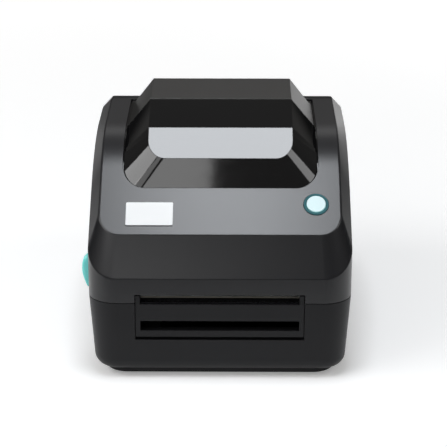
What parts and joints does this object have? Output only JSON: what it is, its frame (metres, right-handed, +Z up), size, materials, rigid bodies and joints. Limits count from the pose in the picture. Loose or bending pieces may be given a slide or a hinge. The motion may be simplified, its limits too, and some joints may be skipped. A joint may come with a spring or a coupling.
{
  "type": "thermal label printer",
  "caption": "Desktop direct thermal label printer with a clamshell lid, raised smoked window, lit feed button, side latch lever, geared platen and coupled roll guides.",
  "frame": {"origin": "on the desk plane under the middle of the casing", "axes": "+Z up, -Y out of the label slot, +X to the right of someone facing the front"},
  "size_m": [0.1851, 0.2227, 0.1756],
  "materials": {
    "casing_black": "fine moulded texture, satin",
    "window_smoke": "smoked, polished",
    "badge_white": "satin white",
    "lever_teal": "satin",
    "ring_teal": "translucent satin",
    "button_light": "lit translucent",
    "inner_black": "moulded",
    "rubber_black": "ground",
    "gear_ivory": "acetal",
    "steel": "bright",
    "motor_black": "satin",
    "pinion_brass": "cut",
    "head_aluminium": "extruded",
    "head_ceramic": "glazed",
    "board_green": "solder mask"
  },
  "bodies": {
    "base": {"base_shell": "casing_black", "bottom_plate": "casing_black", "rubber_feet": "rubber_black", "bottom_screws": "steel", "front_bezel": "casing_black", "tear_bar": "steel", "gear_plate": "steel", "platen_plate": "steel", "plate_screws": "steel", "platen_bushes": "gear_ivory", "idler_pin": "steel", "stepper_motor": "motor_black", "media_tray": "inner_black", "tray_screws": "steel", "gap_sensor": "inner_black", "cover_switch": "inner_black", "guide_pin": "steel", "main_board": "board_green", "board_screws": "steel", "board_parts": "inner_black", "dc_jack": "inner_black", "usb_socket": "steel", "power_switch": "inner_black", "hinge_pins": "steel", "latch_strikes": "steel"},
    "platen": {"platen_shaft": "steel", "platen_rubber": "rubber_black", "platen_gear": "gear_ivory"},
    "idler": {"idler_gear": "gear_ivory"},
    "rotor": {"motor_shaft": "steel", "motor_pinion": "pinion_brass"},
    "guide_left": {"roll_guide_left": "inner_black", "guide_hub_left": "inner_black"},
    "guide_right": {"roll_guide_right": "inner_black", "guide_hub_right": "inner_black"},
    "guide_drive": {"guide_pinion": "gear_ivory"},
    "rocker": {"power_rocker": "inner_black"},
    "lid": {"lid_shell": "casing_black", "hood_window": "window_smoke", "hood_roof": "casing_black", "badge_plate": "badge_white", "button_ring": "ring_teal", "button_board": "board_green", "lid_frame": "inner_black", "frame_screws": "steel", "head_pins": "steel", "head_springs": "steel", "latch_spring": "steel"},
    "button": {"feed_button": "button_light"},
    "head": {"head_carrier": "steel", "print_head": "head_aluminium", "head_ceramic": "head_ceramic"},
    "latch": {"latch_shaft": "steel", "latch_hooks": "steel", "latch_lever": "lever_teal"}
  },
  "joints": [
    {"name": "lid_hinge", "type": "hinge", "parent": "base", "child": "lid", "pos_m": [0, 0.1055, 0.061], "axis": [-1, 0, 0], "range_deg": [0, 95]},
    {"name": "latch_turn", "type": "hinge", "parent": "lid", "child": "latch", "pos_m": [0, -0.081, 0.07], "axis": [1, 0, 0], "range_deg": [0, 16], "stiffness_Nm_per_rad": 0.4, "springref_deg": -8.59},
    {"name": "feed_press", "type": "slide", "parent": "lid", "child": "button", "axis": [0, 0.6157, -0.788], "range_m": [0, 0.0012], "stiffness_N_per_m": 900, "springref_m": -0.0008},
    {"name": "head_float", "type": "hinge", "parent": "lid", "child": "head", "pos_m": [0, -0.066, 0.066], "axis": [-1, 0, 0], "range_deg": [0, 2.5], "stiffness_Nm_per_rad": 6, "springref_deg": -5.73, "deforming": ["head_springs"]},
    {"name": "platen_spin", "type": "hinge", "parent": "base", "child": "platen", "pos_m": [0, -0.095, 0.0493], "axis": [1, 0, 0], "continuous": true},
    {"name": "idler_spin", "type": "hinge", "parent": "base", "child": "idler", "pos_m": [0, -0.08425, 0.03855], "axis": [1, 0, 0], "continuous": true},
    {"name": "motor_spin", "type": "hinge", "parent": "base", "child": "rotor", "pos_m": [0, -0.06471, 0.03144], "axis": [1, 0, 0], "continuous": true},
    {"name": "guide_slide", "type": "slide", "parent": "base", "child": "guide_left", "axis": [1, 0, 0], "range_m": [0, 0.036]},
    {"name": "guide_follow", "type": "slide", "parent": "base", "child": "guide_right", "axis": [1, 0, 0], "range_m": [-0.036, 0]},
    {"name": "guide_turn", "type": "hinge", "parent": "base", "child": "guide_drive", "pos_m": [0, 0.022, 0.016], "axis": [0, 0, 1], "range_deg": [0, 257.83]},
    {"name": "power_tip", "type": "hinge", "parent": "base", "child": "rocker", "pos_m": [0.05, 0.10749, 0.032], "axis": [0, 0, 1], "range_deg": [0, 14]}
  ],
  "couplings": [
    {"joint": "idler_spin", "follows": "motor_spin", "ratio": -0.3},
    {"joint": "platen_spin", "follows": "motor_spin", "ratio": 0.175},
    {"joint": "guide_follow", "follows": "guide_slide", "ratio": -1},
    {"joint": "guide_turn", "follows": "guide_slide", "rad_per_m": 125}
  ]
}
